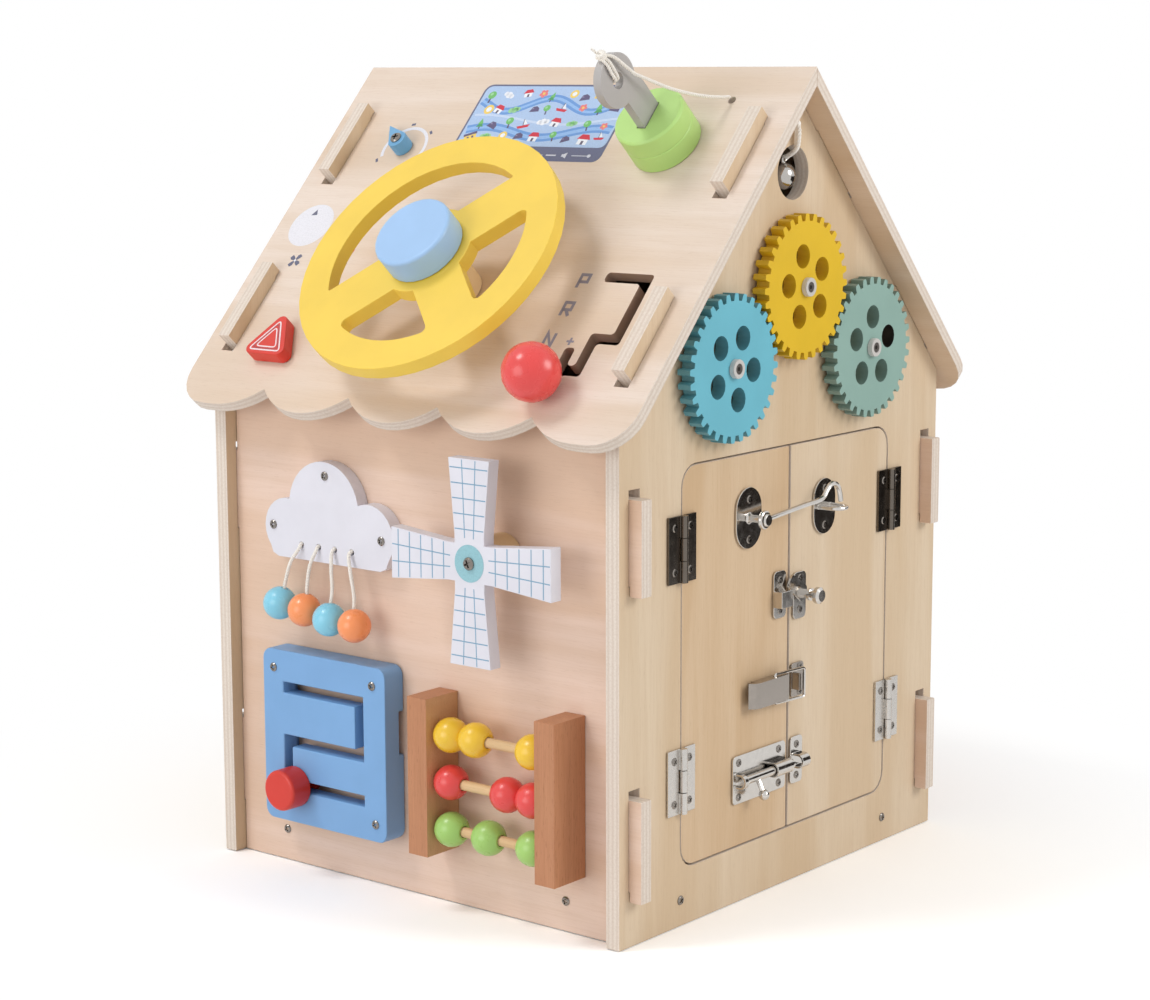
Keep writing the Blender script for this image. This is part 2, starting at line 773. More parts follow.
def back_eave():
    half = HALF_WIDTH + ROOF_OVERHANG
    level = -ROOF_LENGTH + ROOF_CORNER
    left = arc((-half + ROOF_CORNER, level), ROOF_CORNER, math.pi, 1.5 * math.pi, 6)
    right = arc((half - ROOF_CORNER, level), ROOF_CORNER, 1.5 * math.pi, 2 * math.pi, 6)
    return left + right


def roof_board(plane, eave, holes):
    half = HALF_WIDTH + ROOF_OVERHANG
    outline = eave + [(half, -SEAT_GAP), (-half, -SEAT_GAP)]
    return slab(plane, outline, -ROOF_PLY, 0, holes, ridge_lean)


def shift_outline():
    """The gear shift slot: the winding track with the upright gate at its end."""
    half = SHIFT_SLOT_HALF
    track = [(a, -b) for a, b in SHIFT_PATH]
    lower = track[-1][1]
    outline = channel(track, half)
    left = SHIFT_COLUMN - half
    right = SHIFT_COLUMN + half
    inner = track[-1][0] - half
    gate = [(right, lower - half), (right, -SHIFT_STOP_LOW - half), (left, -SHIFT_STOP_LOW - half)]
    gate += [(left, -SHIFT_STOP_HIGH + half), (right, -SHIFT_STOP_HIGH + half), (right, lower + half)]
    gate.append((inner, lower + half))
    corner_right = (track[-1][0] + half, lower - half)
    index = min(range(len(outline)), key=lambda i: (Vector(outline[i]) - Vector(corner_right)).length)
    ring = outline[index:] + outline[:index]
    other = (Vector(ring[1]) - Vector((inner, lower - half))).length
    if other > (Vector(ring[-1]) - Vector((inner, lower - half))).length:
        ring = [ring[0]] + ring[:0:-1]
    return rounded([ring[0]] + gate + ring[2:], SHIFT_CORNER, FEW)


def build_shell():
    inset_face = HALF_DEPTH - WALL_INSET
    top = wall_top(inset_face)
    add("front_panel", slab(FRONT, wall_outline(top, True), -PLY, 0), BIRCH)
    add("back_panel", slab(BACK, wall_outline(top), -PLY, 0), BIRCH)
    add("left_gable", slab(LEFT_GABLE, gable_outline(), -PLY, 0, wall_slots()), BIRCH_PALE)
    floor_half = inset_face - PLY - SEAT_GAP
    floor_plane = Plane((0, CENTRE_Y, FLOOR_HEIGHT), (1, 0, 0), (0, 1, 0))
    floor = box(-INNER_HALF, INNER_HALF, -floor_half, floor_half)
    add("floor_board", slab(floor_plane, floor, 0, PLY), BIRCH)
    cord_hole = circle(CORD_HOLE, SMALL, (CORD_HOLE_SPOT[0], -CORD_HOLE_SPOT[1]))
    holes = roof_slots() + [shift_outline(), cord_hole]
    add("front_roof", roof_board(ROOF, front_eave(), holes), BIRCH)
    add("back_roof", roof_board(BACK_ROOF, back_eave(), roof_slots()), BIRCH)


def gear_spots():
    """Yellow, blue and sage gear centres on the gable."""
    side = GEAR_CENTRES * math.cos(GEAR_DROP_ANGLE)
    low = GEAR_TOP_CENTRE - GEAR_CENTRES * math.sin(GEAR_DROP_ANGLE)
    return ((0, GEAR_TOP_CENTRE), (-side, low), (side, low))


def gear_pin(spot):
    """A headed axle with a washer, its foot sunk in the gable."""
    top = GEAR_LEVEL + GEAR_THICK + SEAT_GAP
    washer = GEAR_LEVEL - SEAT_GAP
    sunk = -SEAT_GAP
    profile = [(0, -PLY / 2), (GEAR_PIN, -PLY / 2), (GEAR_PIN, sunk), (GEAR_HEAD, sunk)]
    profile += [(GEAR_HEAD, washer), (GEAR_PIN, washer), (GEAR_PIN, top), (GEAR_HEAD, top)]
    profile += [(GEAR_HEAD, top + GEAR_HEAD_THICK), (0, top + GEAR_HEAD_THICK)]
    return spin(GABLE.moved(*spot), profile, SMALL)


def build_right_gable():
    doorway = rounded(box(-DOORWAY_HALF, DOORWAY_HALF, DOORWAY_FOOT, DOORWAY_HEAD), DOORWAY_CORNER)
    window = circle(WINDOW_RADIUS, ROUND, (0, RIDGE_HEIGHT - WINDOW_DROP))
    cord_hole = circle(BELL_CORD_HOLE, SMALL, (0, RIDGE_HEIGHT - BELL_CORD_DROP))
    board = slab(GABLE, gable_outline(), -PLY, 0, wall_slots() + [doorway, window, cord_hole])
    add("right_gable", join(board, *[gear_pin(spot) for spot in gear_spots()]), BIRCH_PALE)


# Doors and hinges
def door_outline(sign):
    """One door, seen from outside; sign is -1 for the left one."""
    inner = DOOR_MEET_GAP / 2
    outer = DOORWAY_HALF - DOOR_EDGE_GAP
    foot = DOORWAY_FOOT + DOOR_EDGE_GAP
    head = DOORWAY_HEAD - DOOR_EDGE_GAP
    radius = DOORWAY_CORNER - DOOR_EDGE_GAP
    low = arc((outer - radius, foot + radius), radius, -math.pi / 2, 0, 5)
    high = arc((outer - radius, head - radius), radius, 0, math.pi / 2, 5)
    outline = [(inner, foot)] + low + high + [(inner, head)]
    return [(sign * a, b) for a, b in outline]


def hinge_axis(sign):
    return GABLE.at(sign * (DOORWAY_HALF + HINGE_SHIFT), 0, HINGE_BARREL + SEAT_GAP)


def hinge_blank(sign, side, level):
    """Leaf and full barrel; side points from the barrel to the leaf."""
    plane = GABLE.moved(sign * (DOORWAY_HALF + HINGE_SHIFT), level).edge_on()
    axis = HINGE_BARREL + SEAT_GAP
    lift = SEAT_GAP + HINGE_LEAF
    reach = math.sqrt(HINGE_BARREL ** 2 - (axis - lift) ** 2)
    low = math.atan2(lift - axis, -reach) + 2 * math.pi
    round_part = arc((0, axis), HINGE_BARREL, -math.pi / 2, low, 12)
    outline = [(-HINGE_REACH, SEAT_GAP)] + round_part + [(-HINGE_REACH, lift)]
    points = [(out, -side * across) for across, out in outline]
    half = HINGE_HEIGHT / 2
    return plane, slab(plane, points, -half, half)


def hinge_gap(plane, side, low, high):
    """Clears the barrel between two levels for the other leaf's knuckle."""
    reach = HINGE_BARREL + RUN_GAP
    edges = sorted((side * reach, -side * (reach + OVERRUN)))
    return slab(plane, box(-OVERRUN, reach * 2 + OVERRUN, *edges), low, high)


def build_hinges():
    third = HINGE_HEIGHT / 6
    tip = HINGE_HEIGHT / 2 + OVERRUN
    number = 0
    for sign in (-1, 1):
        for share in HINGE_LEVEL_SHARES:
            level = on_door(share)
            number += 1
            plane, frame = hinge_blank(sign, sign, level)
            frame = cut(frame, hinge_gap(plane, sign, -third - SEAT_GAP, third + SEAT_GAP))
            axis = plane.moved(HINGE_BARREL + SEAT_GAP, 0)
            pin = peg(axis, HINGE_PIN, -2 * third, 2 * third, TINY)
            add_metal("hinge_frame_leaf_%d" % number, join(frame, pin))
            plane, leaf = hinge_blank(sign, -sign, level)
            gaps = [hinge_gap(plane, -sign, third, tip), hinge_gap(plane, -sign, -tip, -third)]
            bore = peg(axis, HINGE_PIN + RUN_GAP, -tip, tip, TINY)
            pivot = hinge_axis(sign) + Vector((0, 0, level))
            add_metal("hinge_door_leaf_%d" % number, cut(leaf, *gaps, bore), pivot)


def build_doors():
    for name, sign in (("left_door", -1), ("right_door", 1)):
        add(name, slab(GABLE, door_outline(sign), -PLY, 0), BIRCH_PALE, hinge_axis(sign))


# Hook and eye
def oval_plate(spot, size):
    width, height = size
    reach = (height - width) / 2
    outline = arc((spot[0], spot[1] + reach), width / 2, 0, math.pi, 12)
    outline += arc((spot[0], spot[1] - reach), width / 2, math.pi, 2 * math.pi, 12)
    return slab(GABLE, outline, SEAT_GAP, SEAT_GAP + SHEET)


def hook_route():
    """The hook's wire when latched, from its ring to its tip."""
    across, up = HOOK_POST_SPOT
    ring = HOOK_POST + RUN_GAP + WIRE
    tip = EYE_SPOT[0] - across
    low = EYE_SPOT[1] - up
    bend = [(tip + across * HOOK_BEND, up * HOOK_BEND) for across, up in HOOK_BEND_SHARES]
    return [(ring, 0), (tip / 2, 0)] + bend + [(tip + WIRE / 2, low - HOOK_POINT)]


def build_hook():
    post_plane = GABLE.moved(*HOOK_POST_SPOT)
    under = HOOK_PROUD + WIRE + SEAT_GAP
    profile = [(0, SHEET / 2), (HOOK_HEAD, SHEET / 2), (HOOK_POST, 3 * SHEET), (HOOK_POST, under)]
    profile += [(HOOK_HEAD, under), (HOOK_HEAD - SHEET / 2, under + SHEET), (0, under + SHEET)]
    base = join(oval_plate(HOOK_POST_SPOT, HOOK_PLATE), spin(post_plane, profile, SMALL))
    pivot = post_plane.at(0, 0, HOOK_PROUD)
    add_metal("hook_base", base, pivot)
    level = post_plane.moved(0, 0, HOOK_PROUD)
    ring = HOOK_POST + RUN_GAP + WIRE
    loop = circle(WIRE, TINY, (ring, 0))
    eye = spin(level, loop, BELL_SIDES, closed=True)
    lifted = level.turned(HOOK_LIFT)
    route = [lifted.at(*point) for point in hook_route()]
    add_metal("hook", join(eye, cord(route, WIRE, 0.9)), pivot)


def build_hook_eye():
    plane = GABLE.moved(*EYE_SPOT)
    half = EYE_LOOP_HALF
    bend = EYE_REACH - half
    route = [(-half, SHEET / 2), (-half, bend / 2), (-half, bend)]
    route += arc((0, bend), half, math.pi, 0, 10)[1:]
    route += [(half, bend / 2), (half, SHEET / 2)]
    path = [plane.at(across, 0, out) for across, out in route]
    add_metal("hook_eye", join(oval_plate(EYE_SPOT, EYE_PLATE), cord(path, EYE_WIRE, smooth=False)))


# Turn catch
def small_plate(spot, size):
    width, height = size
    outline = box(spot[0] - width / 2, spot[0] + width / 2, spot[1] - height / 2, spot[1] + height / 2)
    return slab(GABLE, rounded(outline, width / 4, FEW), SEAT_GAP, SEAT_GAP + SHEET)


def turn_blade():
    """The catch's crescent blade, seen from above."""
    neck = TURN_BLADE_REACH * TURN_NECK_SHARE
    outline = arc((0, 0), TURN_BLADE_REACH, -TURN_BLADE_HALF, TURN_BLADE_HALF, 6)
    outline += [(neck, TURN_KNOB), (0, TURN_KNOB), (-TURN_KNOB, 0), (0, -TURN_KNOB), (neck, -TURN_KNOB)]
    return outline


def build_turn_catch():
    plane = GABLE.moved(*TURN_SPOT)
    face = SEAT_GAP + SHEET
    raised = face + SHEET / 2
    ring = TURN_SPINDLE * 1.5
    boss = [(0, SHEET / 2), (ring, SHEET / 2), (ring, raised), (0, raised)]
    plate = small_plate((TURN_SPOT[0], TURN_SPOT[1] - SHEET), TURN_PLATE)
    add_metal("turn_base", join(plate, spin(plane, boss, SMALL)))
    stem = TURN_SPINDLE * 1.2
    foot = raised + SEAT_GAP
    knob = [(0, foot), (stem, foot)]
    knob += [(TURN_KNOB * wide, TURN_PROUD * high) for wide, high in TURN_KNOB_SHARES]
    knob.append((0, TURN_PROUD))
    turned = plane.turned(TURN_REST)
    sheet = slab(turned, turn_blade(), TURN_BLADE_LEVEL, TURN_BLADE_LEVEL + SHEET)
    add_metal("turn_knob", join(spin(plane, knob, SMALL), sheet), plane.at(0, 0, TURN_BLADE_LEVEL))


def build_turn_staple():
    """A plate with a side wall that carries a raised lip open towards the knob."""
    left = STAPLE_SPOT[0] - STAPLE_PLATE[0] / 2
    lip_end = STAPLE_SPOT[0] + STAPLE_PLATE[0] / 2 - SHEET
    top = STAPLE_LIP_LEVEL + SHEET
    profile = [(left, SHEET / 2), (left + SHEET, SHEET / 2), (left + SHEET, STAPLE_LIP_LEVEL)]
    profile += [(lip_end, STAPLE_LIP_LEVEL), (lip_end, top), (left, top)]
    side = Plane(GABLE.at(0, 0), GABLE.across, -GABLE.out)
    outline = [(across, -out) for across, out in profile]
    level = TURN_SPOT[1]
    lip = slab(side, outline, level - STAPLE_LIP_HALF, level + STAPLE_LIP_HALF)
    add_metal("turn_staple", join(small_plate(STAPLE_SPOT, STAPLE_PLATE), lip))


# Toggle latch
def toggle_side():
    """A plane whose out direction is +Z, with across along +Y and up out of the gable."""
    return Plane(GABLE.at(0, TOGGLE_LEVEL), -GABLE.across, GABLE.out)


def side_on(points):
    return [(-across, out) for across, out in points]


def toggle_plate(start, end, half):
    outline = rounded(box(start, end, TOGGLE_LEVEL - half, TOGGLE_LEVEL + half), half / 5, FEW)
    return slab(GABLE, outline, SEAT_GAP, SEAT_GAP + SHEET)


def build_toggle_base():
    side = toggle_side()
    inner = TOGGLE_HALF - SHEET - SEAT_GAP
    across, out = LEVER_PIVOT
    reach = 2 * TOGGLE_PIN
    ear = [(across - reach, SHEET / 2), (across + reach, SHEET / 2)]
    ear += arc((across, out), reach, 0, math.pi, 8)
    ears = [slab(side, side_on(ear), low, low + SHEET) for low in (-inner, inner - SHEET)]
    pin = peg(side.moved(-across, out), TOGGLE_PIN, -TOGGLE_HALF, TOGGLE_HALF, TINY)
    plate = toggle_plate(*TOGGLE_BASE, inner)
    add_metal("toggle_base", join(plate, *ears, pin))


def build_toggle_lever():
    side = toggle_side()
    start, end = TOGGLE_COVER
    low = TOGGLE_TOP / 4
    top = TOGGLE_TOP
    shell = [(end, low), (end, top), (start + SHEET, top)]
    shell += [(start - TOGGLE_TAB * out, top * high) for out, high in TOGGLE_TAB_SHARES]
    shell.append((start, low))
    inside = box(start + SHEET, end + OVERRUN, low - OVERRUN, top - SHEET)
    wall = TOGGLE_HALF - SHEET
    body = slab(side, side_on(shell), -TOGGLE_HALF, TOGGLE_HALF)
    hollow = slab(side, side_on(inside), -wall, wall)
    reach = TOGGLE_HALF + OVERRUN
    across, out = LEVER_PIVOT
    pin_bore = peg(side.moved(-across, out), TOGGLE_PIN + RUN_GAP, -reach, reach, TINY)
    bail_bore = peg(side.moved(-BAIL_PIVOT[0], BAIL_PIVOT[1]), BAIL_WIRE + RUN_GAP, -reach, reach, TINY)
    pivot = side.at(-across, out)
    add_metal("toggle_lever", cut(cut(body, hollow), pin_bore, bail_bore), pivot)


def build_toggle_bail():
    side = toggle_side()
    arm = TOGGLE_HALF + BAIL_WIRE + SEAT_GAP
    inner = TOGGLE_HALF - SHEET
    start = BAIL_PIVOT
    end = BAIL_BAR
    bend = 2 * BAIL_WIRE
    route = [(start[0], start[1], -inner), (start[0], start[1], -arm)]
    route += [(end[0], end[1], -arm), (end[0], end[1], arm)]
    route += [(start[0], start[1], arm), (start[0], start[1], inner)]
    points = [side.at(-across, out, level) for across, out, level in route]
    path = [points[0]]
    for before, here, after in zip(points, points[1:], points[2:]):
        back = (before - here).normalized() * bend
        ahead = (after - here).normalized() * bend
        for step in range(FEW + 1):
            share = step / FEW
            path.append(here + back * (1 - share) ** 2 + ahead * share ** 2)
    path.append(points[-1])
    add_metal("toggle_bail", cord(path, BAIL_WIRE, smooth=False), side.at(-start[0], start[1]))


def build_toggle_catch():
    """A plate with a low bent-up wall for the bail's bar."""
    start, end = CATCH_PLATE
    side = toggle_side()
    base = start + SHEET / 2
    wall = [(base, SHEET / 2), (base + SHEET, SHEET / 2), (base + SHEET, CATCH_WALL - SHEET)]
    wall += [(base + 2 * SHEET, CATCH_WALL), (base, CATCH_WALL)]
    hook = slab(side, side_on(wall), -CATCH_HALF / 2, CATCH_HALF / 2)
    add_metal("toggle_catch", join(toggle_plate(start, end, CATCH_HALF), hook))


# Barrel bolt
def bolt_side():
    """A plane whose out direction is +Y, along the bolt."""
    return Plane(GABLE.at(0, BOLT_LEVEL), (0, 0, 1), (1, 0, 0))


def bolt_guide(start, end):
    """A bent strap over the rod between two places along it."""
    bore = BOLT_ROD + RUN_GAP
    outer = bore + SHEET
    foot = SHEET / 2
    outline = [(outer, foot)] + arc((0, BOLT_AXIS), outer, 0, math.pi, 12) + [(-outer, foot)]
    inner = [(-bore, foot)] + arc((0, BOLT_AXIS), bore, math.pi, 0, 12) + [(bore, foot)]
    return slab(bolt_side(), outline + inner, start, end)


def bolt_base(start, end):
    half = BOLT_PLATE_HALF
    outline = rounded(box(start, end, BOLT_LEVEL - half, BOLT_LEVEL + half), 2 * SHEET, FEW)
    return slab(GABLE, outline, SEAT_GAP, SEAT_GAP + SHEET)


def build_bolt():
    stop = bolt_guide(*BOLT_STOP)
    add_metal("bolt_plate", join(bolt_base(*BOLT_PLATE), stop, bolt_guide(*BOLT_TUNNEL)))
    add_metal("bolt_keeper", join(bolt_base(*KEEPER_PLATE), bolt_guide(*KEEPER_TUNNEL)))
    along = bolt_side().moved(0, BOLT_AXIS)
    start, end = BOLT_SPAN
    chamfer = BOLT_ROD / 4
    profile = [(0, start), (BOLT_ROD - chamfer, start), (BOLT_ROD, start + chamfer)]
    profile += [(BOLT_ROD, end - chamfer), (BOLT_ROD - chamfer, end), (0, end)]
    rod = spin(along, profile, SMALL)
    top = along.at(0, 0, BOLT_KNOB_AT)
    low = along.at(-BOLT_KNOB_DROP, BOLT_KNOB_DROP / 2, BOLT_KNOB_AT)
    stem = cord([top, low], BOLT_ROD * BOLT_STEM_SHARE, smooth=False)
    grip = Plane(low, GABLE.across, GABLE.up)
    add_metal("bolt_rod", join(rod, stem, ball(grip, BOLT_KNOB, SMALL)), along.at(0, 0, 0))


# Gears
def flank_angle(radius):
    """Half a tooth's angle at a radius of its involute flank."""
    pitch = GEAR_CENTRES / 2
    base = pitch * math.cos(GEAR_PRESSURE)
    roll = math.acos(min(1, base / radius))
    involute = math.tan(roll) - roll
    start = math.tan(GEAR_PRESSURE) - GEAR_PRESSURE
    half = math.pi / GEAR_TEETH / 2 - GEAR_BACKLASH / 2 / GEAR_CENTRES
    return half + start - involute


def gear_outline(phase):
    """The toothed rim with a tooth centred at the phase angle."""
    outline = []
    radii = (GEAR_ROOT, GEAR_CENTRES / 2, GEAR_TIP)
    for tooth in range(GEAR_TEETH):
        middle = phase + 2 * math.pi * tooth / GEAR_TEETH
        flank = [(radius, flank_angle(radius)) for radius in radii]
        angles = [(radius, middle - half) for radius, half in flank]
        angles += [(radius, middle + half) for radius, half in reversed(flank)]
        outline += [(radius * math.cos(a), radius * math.sin(a)) for radius, a in angles]
    return outline


def mating_phase(phase, direction):
    """A tooth angle for a gear in that direction so that its gaps meet the teeth."""
    pitch = 2 * math.pi / GEAR_TEETH
    offset = (phase - direction) % pitch
    return direction + math.pi - offset + pitch / 2


def build_gears():
    spots = gear_spots()
    left = math.pi + GEAR_DROP_ANGLE
    right = -GEAR_DROP_ANGLE
    phases = (0, mating_phase(0, left), mating_phase(0, right))
    turns = (YELLOW_HOLE_TURN, BLUE_HOLE_TURN, SAGE_HOLE_TURN)
    names = ("gear_yellow", "gear_blue", "gear_sage")
    colors = (GEAR_YELLOW, GEAR_BLUE, GEAR_SAGE)
    for name, spot, phase, turn, color in zip(names, spots, phases, turns, colors):
        plane = GABLE.moved(*spot)
        centres = circle(GEAR_HOLE_RING, GEAR_HOLES, turn=turn)
        holes = [circle(GEAR_HOLE, SMALL, centre) for centre in centres]
        holes.append(circle(GEAR_PIN + RUN_GAP, SMALL))
        rim = slab(plane, gear_outline(phase), GEAR_LEVEL, GEAR_LEVEL + GEAR_THICK, holes)
        add(name, rim, color, plane.at(0, 0, GEAR_LEVEL + GEAR_THICK / 2))


# Bell
def build_bell():
    hole = GABLE.moved(0, RIDGE_HEIGHT - BELL_CORD_DROP, BELL_PROUD)
    centre = hole.moved(0, -BELL_DROP, -BELL_SET_IN)
    body = ball(centre.edge_on(), BELL_RADIUS, BELL_SIDES)
    low = BELL_RADIUS * EYELET_FOOT_SHARE
    high = BELL_RADIUS * EYELET_HEAD_SHARE
    eyelet = peg(centre.edge_on(), BELL_EYELET, low, high)
    route = [centre.at(0, BELL_RADIUS), hole.at(0, -BELL_BEND), hole.at(0, 0)]
    strand = cord(route, BELL_CORD, smooth=False)
    knot = ball(hole, BELL_KNOT, SMALL)
    foot = -BELL_RADIUS - OVERRUN
    head = -BELL_RADIUS + BELL_SLIT_DEPTH
    reach = BELL_RADIUS + OVERRUN
    half = BELL_SLIT / 2
    across_slit = slab(centre, box(-half, half, foot, head), -reach, reach)
    along_slit = slab(centre, box(-reach, reach, foot, head), -half, half)
    body = cut(body, across_slit, along_slit)
    add_metal("bell", join(body, eyelet, strand, knot), hole.at(0, 0))


# Cloud
def crossing(one, other):
    """Angles on both circles of their upper crossing, from left to right circle or back."""
    gap = Vector(other[:2]) - Vector(one[:2])
    d = gap.length
    along = (d * d + one[2] ** 2 - other[2] ** 2) / (2 * d)
    high = math.sqrt(one[2] ** 2 - along ** 2)
    side = Vector((gap.y, -gap.x)).normalized()
    spot = Vector(one[:2]) + gap.normalized() * along + side * high
    return [math.atan2(spot.y - c[1], spot.x - c[0]) for c in (one, other)]


def cloud_outline():
    """A flat-footed cloud from three circles, about the middle of its foot."""
    big, left, right = CLOUD_BUMPS
    turn = CLOUD_FOOT_ROUND
    corner = turn * CLOUD_CORNER_SHARE
    right_foot = math.asin((turn - right[1]) / right[2])
    left_foot = math.pi - math.asin((turn - left[1]) / left[2])
    right_cross, big_right = crossing(right, big)
    big_left, left_cross = crossing(big, left)
    outline = arc(right[:2], right[2], right_foot, right_cross, TINY)
    outline += arc(big[:2], big[2], big_right, big_left, SMALL)[1:]
    outline += arc(left[:2], left[2], left_cross, left_foot, TINY)[1:]
    end = outline[-1][0]
    start = outline[0][0]
    outline += [(end + corner, corner), (end + turn, 0), (start - turn, 0), (start - corner, corner)]
    return outline


def build_cloud():
    plane = FRONT.moved(*CLOUD_SPOT)
    holes = [circle(CLOUD_HOLE, TINY, (across, CLOUD_HOLE_RISE)) for across in CLOUD_HOLES]
    add("cloud", slab(plane, cloud_outline(), SEAT_GAP, SEAT_GAP + CLOUD_THICK, holes), WHITE)
    colors = (CYAN, ORANGE, CYAN, ORANGE)
    face = SEAT_GAP + CLOUD_THICK + CLOUD_CORD_PROUD
    drops = spread(CLOUD_BEAD_DROP_SHARES, CLOUD_ROOM_SHARE * CLOUD_ROOM)
    beads = zip(CLOUD_HOLES, CLOUD_BEAD_OFFSETS, drops, colors)
    for number, (hole, offset, drop, color) in enumerate(beads, 1):
        pivot = plane.at(hole, CLOUD_HOLE_RISE, face)
        centre = plane.moved(offset, -drop, CLOUD_BEAD_PROUD)
        aim = Vector(pivot) - centre.origin
        top = centre.origin + aim.normalized() * CLOUD_BEAD * CORD_SUNK_SHARE
        strand = cord([top, pivot], CLOUD_CORD, smooth=False)
        knot = ball(Plane(pivot, FRONT.across, FRONT.up), CLOUD_KNOT, TINY)
        bead = ball(centre.edge_on(), CLOUD_BEAD, BEAD_SIDES)
        add("cloud_bead_%d" % number, join(bead, strand, knot), color, pivot)


# Windmill
def turned_spot(spot, turn):
    across, up = spot
    return (across * math.cos(turn) - up * math.sin(turn), across * math.sin(turn) + up * math.cos(turn))


def build_windmill():
    plane = FRONT.moved(*MILL_SPOT)
    outline = []
    for quarter in range(4):
        turn = math.pi / 2 * quarter
        blade = [(MILL_ROOT_HALF, -MILL_ROOT_HALF), (MILL_INNER, -MILL_ROOT_HALF)]
        blade += [(MILL_REACH, -MILL_TIP_HALF), (MILL_REACH, MILL_TIP_HALF), (MILL_INNER, MILL_ROOT_HALF)]
        outline += [turned_spot(spot, turn) for spot in blade]
    blades = slab(plane, outline, MILL_PROUD - MILL_THICK, MILL_PROUD)
    spacer = peg(plane, MILL_SPACER, SEAT_GAP, MILL_PROUD - MILL_THICK / 2, ROUND)
    add("windmill", join(blades, spacer), WHITE, plane.at(0, 0, MILL_PROUD))


# Maze
def maze_path():
    left, right = spread(MAZE_END_SHARES, MAZE_WIDE)
    low, middle, high = spread(MAZE_ROW_SHARES, MAZE_TALL)
    return [(left, high), (right, high), (right, middle), (left, middle), (left, low), (right, low)]


def build_maze():
    half = MAZE_WIDE / 2
    board = FRONT.moved(*MAZE_SPOT)
    path = maze_path()
    outline = rounded(box(-half, half, 0, MAZE_TALL), MAZE_CORNER)
    low = SEAT_GAP
    top = SEAT_GAP + MAZE_THICK
    block = slab(board, outline, low, top, [channel(path, MAZE_SLOT_HALF)])
    groove = slab(board, channel(path, MAZE_GROOVE_HALF), low - OVERRUN, low + MAZE_GROOVE_DEEP)
    row = path[2][1] + MAZE_GROOVE_HALF / 4
    notch = box(path[1][0], half + OVERRUN, row, MAZE_NOTCH_SHARE * MAZE_TALL)
    side_notch = slab(board, notch, low - OVERRUN, low + MAZE_NOTCH_DEEP)
    add("maze_block", cut(block, groove, side_notch), MAZE_BLUE)
    plane = board.moved(MAZE_KNOB_SHARE * MAZE_WIDE, path[-1][1])
    foot = top + SEAT_GAP
    disc = low + MAZE_GROOVE_DEEP - 2 * SEAT_GAP
    back = low + 2 * SEAT_GAP
    profile = [(0, back), (MAZE_DISC, back), (MAZE_DISC, disc), (MAZE_STEM, disc)]
    profile += [(MAZE_STEM, foot), (MAZE_KNOB, foot), (MAZE_KNOB, foot + MAZE_KNOB_TALL - SHEET)]
    profile += [(MAZE_KNOB - SHEET, foot + MAZE_KNOB_TALL), (0, foot + MAZE_KNOB_TALL)]
    add("maze_knob", spin(plane, profile), RED, plane.at(0, 0, foot))


# Abacus
def abacus_rows():
    return [ABACUS_SPOT[1] + row for row in spread(ABACUS_ROW_SHARES, ABACUS_TALL)]


def abacus_ends():
    """The inner faces of the two posts."""
    half = ABACUS_SPAN / 2
    return (ABACUS_SPOT[0] - half + ABACUS_POST, ABACUS_SPOT[0] + half - ABACUS_END_POST)


def build_abacus():
    foot = ABACUS_SPOT[1]
    start, end = abacus_ends()
    posts = []
    for left, right in ((start - ABACUS_POST, start), (end, end + ABACUS_END_POST)):
        outline = box(left, right, foot, foot + ABACUS_TALL)
        posts.append(slab(FRONT, outline, SEAT_GAP, SEAT_GAP + ABACUS_DEEP))
    rods = []
    for row in abacus_rows():
        line = FRONT.moved(0, row, ABACUS_ROD_LEVEL).end_on()
        rods.append(peg(line, ABACUS_ROD, start - ABACUS_ROD_SOCKET, end + ABACUS_ROD_SOCKET, SMALL))
    add("abacus_frame", join(posts[0], *rods, posts[1]), BEECH)


def bead_places():
    """Bead middles along the rods, row by row from the top."""
    start, end = abacus_ends()
    first = start + BEAD_HALF + SEAT_GAP
    last = end - BEAD_HALF - SEAT_GAP
    yellow = (first, first + BEAD_SPACE, last)
    red = (first, last - BEAD_SPACE, last)
    green = (first, first + (last - first) * GREEN_PLACE_SHARE, last)
    return (("yellow", yellow, BEAD_YELLOW), ("red", red, RED), ("green", green, GREEN))


def bead_profile():
    bore = ABACUS_ROD + RUN_GAP
    level = math.acos((bore + SHEET) / BEAD_RADIUS)
    angles = [level * i / FEW for i in range(-FEW, FEW + 1)]
    tall = math.sin(level)
    outside = [(BEAD_RADIUS * math.cos(a), BEAD_HALF * math.sin(a) / tall) for a in angles]
    return outside + [(bore, BEAD_HALF), (bore, -BEAD_HALF)]


def build_beads():
    for row, (label, places, color) in zip(abacus_rows(), bead_places()):
        for number, place in enumerate(places, 1):
            plane = FRONT.moved(place, row, ABACUS_ROD_LEVEL).end_on()
            bead = spin(plane, bead_profile(), BEAD_SIDES, closed=True)
            add("bead_%s_%d" % (label, number), bead, color, plane.at(0, 0, 0))


# Roof pieces
def roof_place(spot):
    return ROOF.moved(spot[0], -spot[1])


def wheel_gap(start, end, corner):
    """A cut-out between the spokes at two angles, rounded where the spokes meet the rim."""
    outer = WHEEL_RADIUS - WHEEL_RIM
    reach = outer - corner
    low = math.asin(WHEEL_SPOKE_HALF / WHEEL_HUB)
    high = math.asin((WHEEL_SPOKE_HALF + corner) / reach)
    steps = max(SMALL, round((end - start) / math.radians(10)))
    first = (reach * math.cos(start + high), reach * math.sin(start + high))
    second = (reach * math.cos(end - high), reach * math.sin(end - high))
    outline = arc(first, corner, start - math.pi / 2, start + high, FEW)
    outline += arc((0, 0), outer, start + high, end - high, steps)[1:]
    outline += arc(second, corner, end - high, end + math.pi / 2, FEW)[1:]
    return outline + arc((0, 0), WHEEL_HUB, end - low, start + low, steps)


